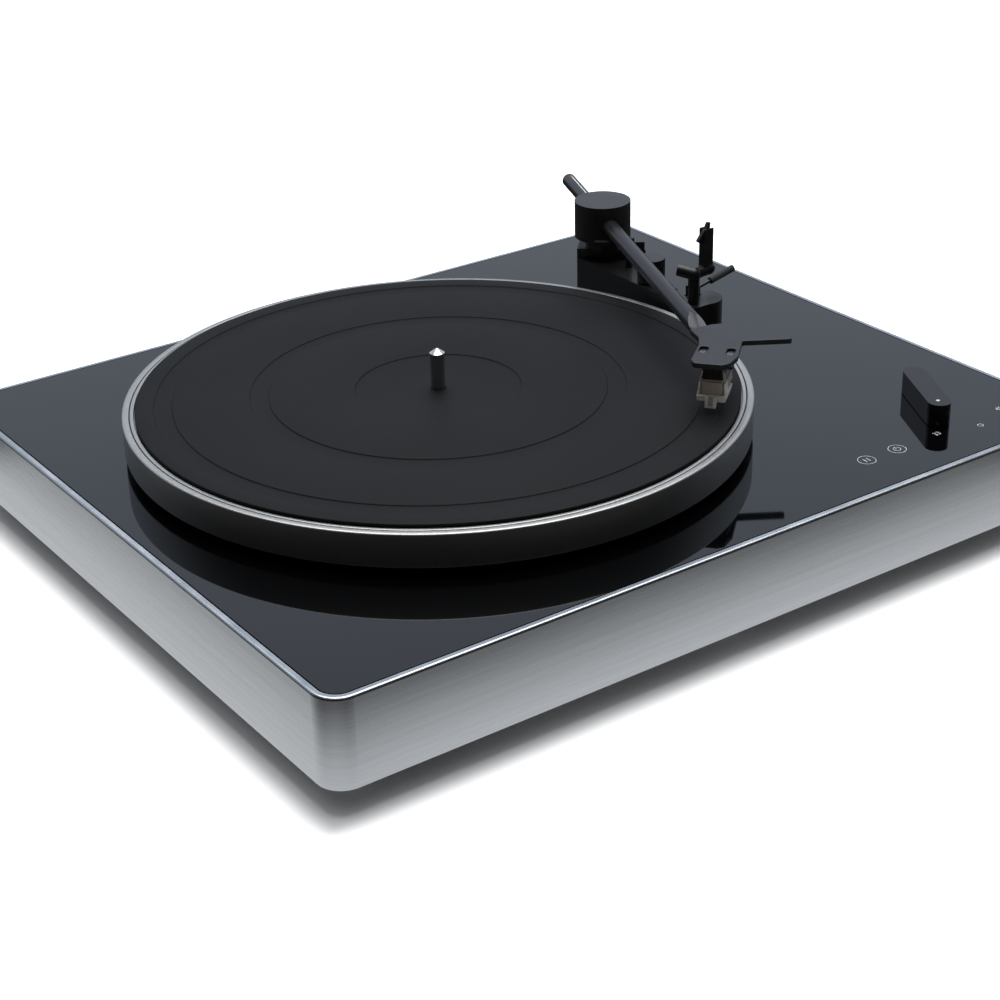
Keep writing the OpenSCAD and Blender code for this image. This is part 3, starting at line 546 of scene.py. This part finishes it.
def arm_tube():
    """Tonearm tube, cut aslant at its end down to the headshell."""
    radius, start, straight, slant_start, end = 4.2, 2.0, 150.0, 155.8, 172.0
    slope = (radius - HEAD_TOP) / 8
    lap, drop, count = 0.2, 1.2, 72
    verts, faces = [], []
    for station in (start, straight, None):
        for k in range(count):
            a = 2 * math.pi * k / count
            y, z = radius * math.cos(a), radius * math.sin(a)
            x = station
            if x is None:
                x = slant_start + (radius - z) / slope if z > HEAD_TOP - lap else end
            verts.append((x, y, z))
    verts += [(start, 0, 0), (slant_start + (radius - HEAD_TOP + drop) / slope, 0, HEAD_TOP - drop)]
    for row in range(2):
        for k in range(count):
            m = (k + 1) % count
            faces.append((row * count + k, (row + 1) * count + k, (row + 1) * count + m, row * count + m))
    for k in range(count):
        m = (k + 1) % count
        faces.append((3 * count, k, m))
        faces.append((3 * count + 1, 2 * count + m, 2 * count + k))
    tube = add_mesh("arm_tube_drawn", verts, faces, part("arm_metal"), ON_ARM, "arm_tilt", 30)
    stand_for(tube, "arm_metal", "arm_tube")


def headshell():
    """Flat headshell with its finger lift and the two stepped slots of the cartridge screws."""
    thick, screw_side, slot_corner = 2.6, 6.35, 2.0
    outline = fillet(
        [(14.6, -7.8), (14.6, 5.4), (12, 8.4), (3, 10.6), (-15.9, 9.5), (-23.4, 31.6), (-26.8, 30.4),
         (-19.6, 8.6), (-33, 3.9), (-37.5, 0), (-33.4, -8.4), (-25.1, -17.2), (-16, -11.2), (-8, -9.6),
         (10.7, -9.8)],
        [2.0, 2.2, 3, 4, 1.6, 1.2, 1.2, 1.6, 2, 1, 1, 0.8, 9, 10, 2.6], 6)
    slots = [fillet(rectangle((-6.1, 2.0, y - 2.05, y + 2.05)), slot_corner, 6)
             for y in (-screw_side, screw_side)]
    shell = plate("headshell_milled", [outline, *slots], -thick, 0, 0.4, part("arm_metal"), ON_HEAD,
                  "arm_tilt", 4)
    stand_for(shell, "arm_metal", "headshell")
    for side, y in (("left", -screw_side), ("right", screw_side)):
        floor_outline = fillet(rectangle((-6.2, 2.1, y - 2.1, y + 2.1)), slot_corner, 6)
        step = plate("slot_floor_" + side, [floor_outline, circle(1.25, 0, y, 20)], -thick + 0.1, -1.2,
                     0.05, part("black_plastic"), ON_HEAD, "arm_tilt", 1)
        stand_for(step, "black_plastic")


def tapered(name, foot, top, low, high, bevel, material, place, body):
    """A block whose outline changes from its foot to its top, with rounded upright corners."""
    verts, faces, rows = [], [], []
    for box, z, cut in ((foot, low, bevel), (foot, low + bevel, 0), (top, high - bevel, 0),
                        (top, high, bevel)):
        rows.append(len(verts))
        verts += [(p.x, p.y, z) for p in fillet(rectangle(box, cut), bevel, 4)]
    count = len(verts) - rows[-1]
    for a, b in zip(rows, rows[1:]):
        for k in range(count):
            m = (k + 1) % count
            faces.append((a + k, a + m, b + m, b + k))
    faces += [tuple(range(count))[::-1], tuple(rows[-1] + k for k in range(count))]
    return add_mesh(name, verts, faces, material, place, body, 25)


def cartridge_pieces():
    """Cartridge in its black mount, with the pale stylus holder below and in front of it, and a thin black plate
    of painted shade over the shell's top.
    """
    def block(name, slot, foot, top, low, high, edge, *nodes):
        """A tapered block between two heights, measured from the headshell's top."""
        piece = tapered(name, foot, top, low, high, edge, part(slot), ON_HEAD, "arm_tilt")
        stand_for(piece, slot, *nodes)

    def pair(names, slot, foot, top, low, high, edge):
        """Two blocks: the first is the mirror image, the second stands as given."""
        mirrored = [(x0, x1, -y1, -y0) for x0, x1, y0, y1 in (foot, top)]
        block(names[0], slot, *mirrored, low, high, edge)
        block(names[1], slot, foot, top, low, high, edge)

    flange = (-9, 6.5, -8.6, 8.6)
    block("cartridge_flange", "black_plastic", flange, flange, -5.6, -2.7, 0.4)
    block("cartridge_block", "black_plastic", (-12, 9, -4.6, 4.6), (-12, 9, -4.2, 4.2),
          -11.6, -4.6, 0.3)
    # Painted shade: a thin black plate over the top of the cartridge shell darkens the shell's top beside the
    # block, where it lies in shade.
    block("cartridge_shade_plate", "black_plastic", (-12, 8.2, -6.1, 6.1), (-12, 8.2, -5.2, 5.2),
          -11.6, -9.3, 0.3)
    block("cartridge_shell", "cartridge_plastic", (-12, 10, -6, 6), (-12, 9, -5.2, 5.2),
          -17.3, -9.8, 0.4, "cartridge_body")
    block("cartridge_face", "cartridge_plastic", (9, 10.5, -4.7, 4.7), (9, 9.9, -4.7, 4.7),
          -17.6, -10.9, 0.25)
    block("stylus_base", "stylus_plastic", (-6, 11.6, -6.7, 6.7), (-6, 11.3, -6.9, 6.9),
          -20.1, -17.1, 0.4, "stylus_holder")
    pair(("stylus_left_flank", "stylus_right_flank"), "stylus_plastic", (2.5, 10.9, 5.9, 6.8),
         (3.5, 9.6, 5.4, 6.2), -18.0, -11.6, 0.2)
    pair(("left_shoulder", "right_shoulder"), "cartridge_plastic", (6, 9.3, 5.2, 6.1),
         (6.8, 8.6, 4.5, 5.2), -11.0, -5.9, 0.15)
    block("stylus_guard", "stylus_plastic", (10.4, 13.3, -2.6, 2.6), (10.2, 12.1, -2.8, 2.8),
          -22.8, -17.6, 0.35)
    block("stylus_notch", "cartridge_plastic", (11, 13.36, -1.1, 1.1), (10.6, 12.2, -1.2, 1.2),
          -21.4, -17.5, 0.2)


def rod_marks():
    """White scale line and orange stop mark along the top of the balance rod."""
    white = grained("scale_white", (0.8, 0.8, 0.8), 0.5, 0.2, 0.003, vary=0.05).material
    orange = grained("stop_orange", (0.42, 0.12, 0.02), 0.5, 0.2, 0.003, vary=0.08).material
    radius = 3.92
    for name, start, stop, low, high, ink in (("scale_line", -63.0, -16.0, 84, 92, white),
                                              ("stop_mark", -66.0, -63.0, 78, 98, orange)):
        verts, faces = [], []
        steps = 4
        for k in range(steps + 1):
            a = math.radians(low + (high - low) * k / steps)
            for x in (start, stop):
                verts.append((x, radius * math.cos(a), radius * math.sin(a)))
            if k:
                faces.append((2 * k - 2, 2 * k - 1, 2 * k + 1, 2 * k))
        add_mesh(name, verts, faces, ink, ON_ARM, "balance_rod")


def printed_marks():
    """Pale printed signs on the glass and the knob, placed from the speed knob's axis."""
    ink = grained("print_white", (0.62, 0.63, 0.64), 0.5, 0.2, 0.004, vary=0.06).material
    height = GLASS_Z + 0.02

    def ring(name, x, y, outer, inner, start=0.0, stop=360.0):
        """A flat ring or arc about a point x, y from the knob's axis."""
        count = 64
        verts, faces = [], []
        for k in range(count + 1):
            a = math.radians(start + (stop - start) * k / count)
            verts += [(KNOB.x + x + r * math.cos(a), KNOB.y + y + r * math.sin(a), height)
                      for r in (outer, inner)]
            if k:
                faces.append((2 * k - 2, 2 * k, 2 * k + 1, 2 * k - 1))
        add_mesh(name, verts, faces, ink, body="plinth")

    def bar(name, x, y, width, depth):
        """A flat bar about a point x, y from the knob's axis."""
        x0, y0 = KNOB.x + x - width / 2, KNOB.y + y - depth / 2
        corners = rectangle((x0, x0 + width, y0, y0 + depth))
        add_mesh(name, [(*corner, height) for corner in corners], [(0, 1, 2, 3)], ink, body="plinth")

    ring("touch_ring_left", -68.4, -35.2, 4.4, 4.1)
    ring("touch_ring_right", -49.0, -35.3, 4.4, 4.1)
    ring("touch_arc_right", -49.0, -35.3, 1.9, 1.55, 125, 415)
    ring("off_mark", 0.8, -40.8, 1.5, 1.15)
    bar("touch_bar_left", -69.5, -35.2, 0.5, 3.2)
    bar("touch_bar_mid", -67.4, -35.2, 0.5, 3.2)
    bar("touch_bar_right", -49.0, -33.8, 0.4, 2.2)
    for name, word, x, y in (("speed_33", "33", -22.3, -35.0), ("speed_45", "45", 22.0, -33.0)):
        curve = bpy.data.curves.new(name, "FONT")
        curve.body = word
        curve.size = 4.2 * MM
        curve.align_x = "CENTER"
        curve.align_y = "CENTER"
        curve.materials.append(ink)
        number = bpy.data.objects.new(name, curve)
        number.location = Vector((KNOB.x + x, KNOB.y + y, height)) * MM
        bpy.context.scene.collection.objects.link(number)
        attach(number, "plinth")
    knob_top = node_box("speed_knob")[1].z
    lathe("knob_dot", [(0, 0), (0.95, 0), (0.95, 0.05), (0, 0.05)], ink,
          shift(KNOB.x - 14, KNOB.y - 26.3, knob_top), "speed_knob", 32)


platter_pieces()
arm_tube()
headshell()
cartridge_pieces()
rod_marks()
printed_marks()


# ---- Floor, light and camera ----

WALL_LIGHT = (0.585, 0.65, 0.755)
TOP_LIGHT = (0.5, 0.5, 0.5)
ROOM_DARK = (0.03, 0.03, 0.03)
GLOW_NEAR = 0.92
GLOW_FAR = 0.03
SOFTBOX_POWER = 24.0
SOFTBOX_PLACE = (0.25, 0.25, 1.5)
CAMERA_PLACE = (-0.53738, -0.76623, 0.47240)
CAMERA_ANGLES = (-34.70, 26.65, -1.55)  # azimuth, elevation and roll in degrees
CAMERA_LENS = 74.91


def surround():
    """World light: a soft pale wall behind and above, and a dark room in front and below."""
    world = bpy.data.worlds.new("surround")
    bpy.context.scene.world = world
    world.use_nodes = True
    tree = world.node_tree
    toward = tree.nodes.new("ShaderNodeTexCoord").outputs["Generated"]
    last = None
    for direction, start, stop, color in (((0.57, 0.82, 0), -0.1, 0.65, WALL_LIGHT),
                                          ((0, 0, 1), 0.62, 0.95, TOP_LIGHT),
                                          ((0, 0, -1), -0.02, 0.03, ROOM_DARK)):
        facing = tree.nodes.new("ShaderNodeVectorMath")
        facing.operation = "DOT_PRODUCT"
        facing.inputs[1].default_value = direction
        tree.links.new(toward, facing.inputs[0])
        amount = tree.nodes.new("ShaderNodeMapRange")
        amount.interpolation_type = "SMOOTHSTEP"
        amount.inputs["From Min"].default_value = start
        amount.inputs["From Max"].default_value = stop
        tree.links.new(facing.outputs["Value"], amount.inputs["Value"])
        blend = tree.nodes.new("ShaderNodeMix")
        blend.data_type = "RGBA"
        tree.links.new(amount.outputs[0], blend.inputs[0])
        if last is None:
            blend.inputs[6].default_value = (*ROOM_DARK, 1)
        else:
            tree.links.new(last, blend.inputs[6])
        blend.inputs[7].default_value = (*color, 1)
        last = blend.outputs[2]
    tree.links.new(last, tree.nodes["Background"].inputs[0])


def from_outline(look):
    """Distance of a floor point from the plinth's outline, in metres."""
    half = (CAD_HIGH - CAD_LOW) / 2
    value = look.place
    for operation, by in (("MULTIPLY", (1, 1, 0)), ("ABSOLUTE", None), ("SUBTRACT", (half.x, half.y, 0)),
                          ("MAXIMUM", (0, 0, 0)), ("LENGTH", None)):
        inputs = {0: value} if by is None else {0: value, 1: by}
        made = look.node("ShaderNodeVectorMath", inputs, operation=operation)
        value = made.outputs["Value" if operation == "LENGTH" else "Vector"]
    return value


def sheet_mesh(name, half, z, material):
    """A square sheet about the origin."""
    made = add_mesh(name, [(-half, -half, z), (half, -half, z), (half, half, z), (-half, half, z)],
                    [(0, 1, 2, 3)], material)
    return made


def studio():
    """A pale table lit from above, with a white surround. The table also glows, with no glow at the plinth's
    outline and more further out: a painted shadow round the plinth and painted light on the open table.
    """
    surround()
    bpy.context.scene.view_settings.view_transform = "Standard"

    table = Finish("table", (0.95, 0.95, 0.95), 0.0, 0.8)
    dust = table.noise(400, detail=2)
    table.link(table.mix(dust, (0.935, 0.935, 0.935), (0.955, 0.955, 0.955)), "Base Color")
    # Painted shadow and painted light: the table's glow is nil at the plinth's outline, rises within 13 mm and
    # rises again from 0.1 m to 0.5 m, so the floor is darker round the plinth.
    table.set("Emission Color", (1, 1, 1, 1))
    away = from_outline(table)
    near = table.span(away, 0.0, 0.66, 0.0, 0.013, "SMOOTHSTEP")
    far = table.span(away, 0.0, 0.4, 0.1, 0.5)
    table.link(table.combine("ADD", near, far), "Emission Strength")
    floor = sheet_mesh("floor", 6000, 0, table.material)
    floor.visible_glossy = False

    glow = Finish("glow", (0, 0, 0), 0.0, 1.0)
    glow.set("Specular IOR Level", 0)
    glow.set("Emission Color", (1, 1, 1, 1))
    reach = glow.span(from_outline(glow), GLOW_NEAR, GLOW_FAR, 0.012, 0.1, "SMOOTHSTEP")
    cloudy = glow.span(glow.noise(300, detail=1), 0.97, 1.03)
    glow.link(glow.combine("MULTIPLY", reach, cloudy), "Emission Strength")
    under = sheet_mesh("table_glow", 3000, -1, glow.material)
    under.visible_camera = False
    under.visible_diffuse = False
    under.visible_shadow = False

    wall = Finish("backdrop", (1, 1, 1), 0.0, 1.0)
    wall.set("Emission Color", (1, 1, 1, 1))
    wall.link(wall.span(wall.noise(2000, detail=1), 0.99, 1.01), "Emission Strength")
    backdrop = lathe("backdrop", [(5900, -20), (5900, 5000), (0, 5000)], wall.material)
    for side in ("glossy", "diffuse", "shadow", "transmission"):
        setattr(backdrop, "visible_" + side, False)

    light = bpy.data.objects.new("softbox", bpy.data.lights.new("softbox", "AREA"))
    light.data.shape = "DISK"
    light.data.size = 1.6
    light.data.energy = SOFTBOX_POWER
    light.location = SOFTBOX_PLACE
    light.rotation_euler = (-Vector(light.location)).to_track_quat("-Z", "Y").to_euler()
    bpy.context.scene.collection.objects.link(light)


def camera():
    """The camera stands at the front left, a little above the plinth."""
    azimuth, elevation, roll = (math.radians(a) for a in CAMERA_ANGLES)
    back = Vector((math.sin(azimuth) * math.cos(elevation), -math.cos(azimuth) * math.cos(elevation),
                   math.sin(elevation)))
    right = Vector((0, 0, 1)).cross(back).normalized()
    up = back.cross(right)
    x_axis = right * math.cos(roll) + up * math.sin(roll)
    y_axis = up * math.cos(roll) - right * math.sin(roll)
    made = bpy.data.objects.new("camera", bpy.data.cameras.new("camera"))
    made.matrix_world = Matrix.Translation(CAMERA_PLACE) @ Matrix(
        (x_axis, y_axis, back)).transposed().to_4x4()
    made.data.lens = CAMERA_LENS
    made.data.sensor_width = 36
    made.data.clip_start = 0.05
    bpy.context.scene.collection.objects.link(made)
    bpy.context.scene.camera = made


studio()
camera()
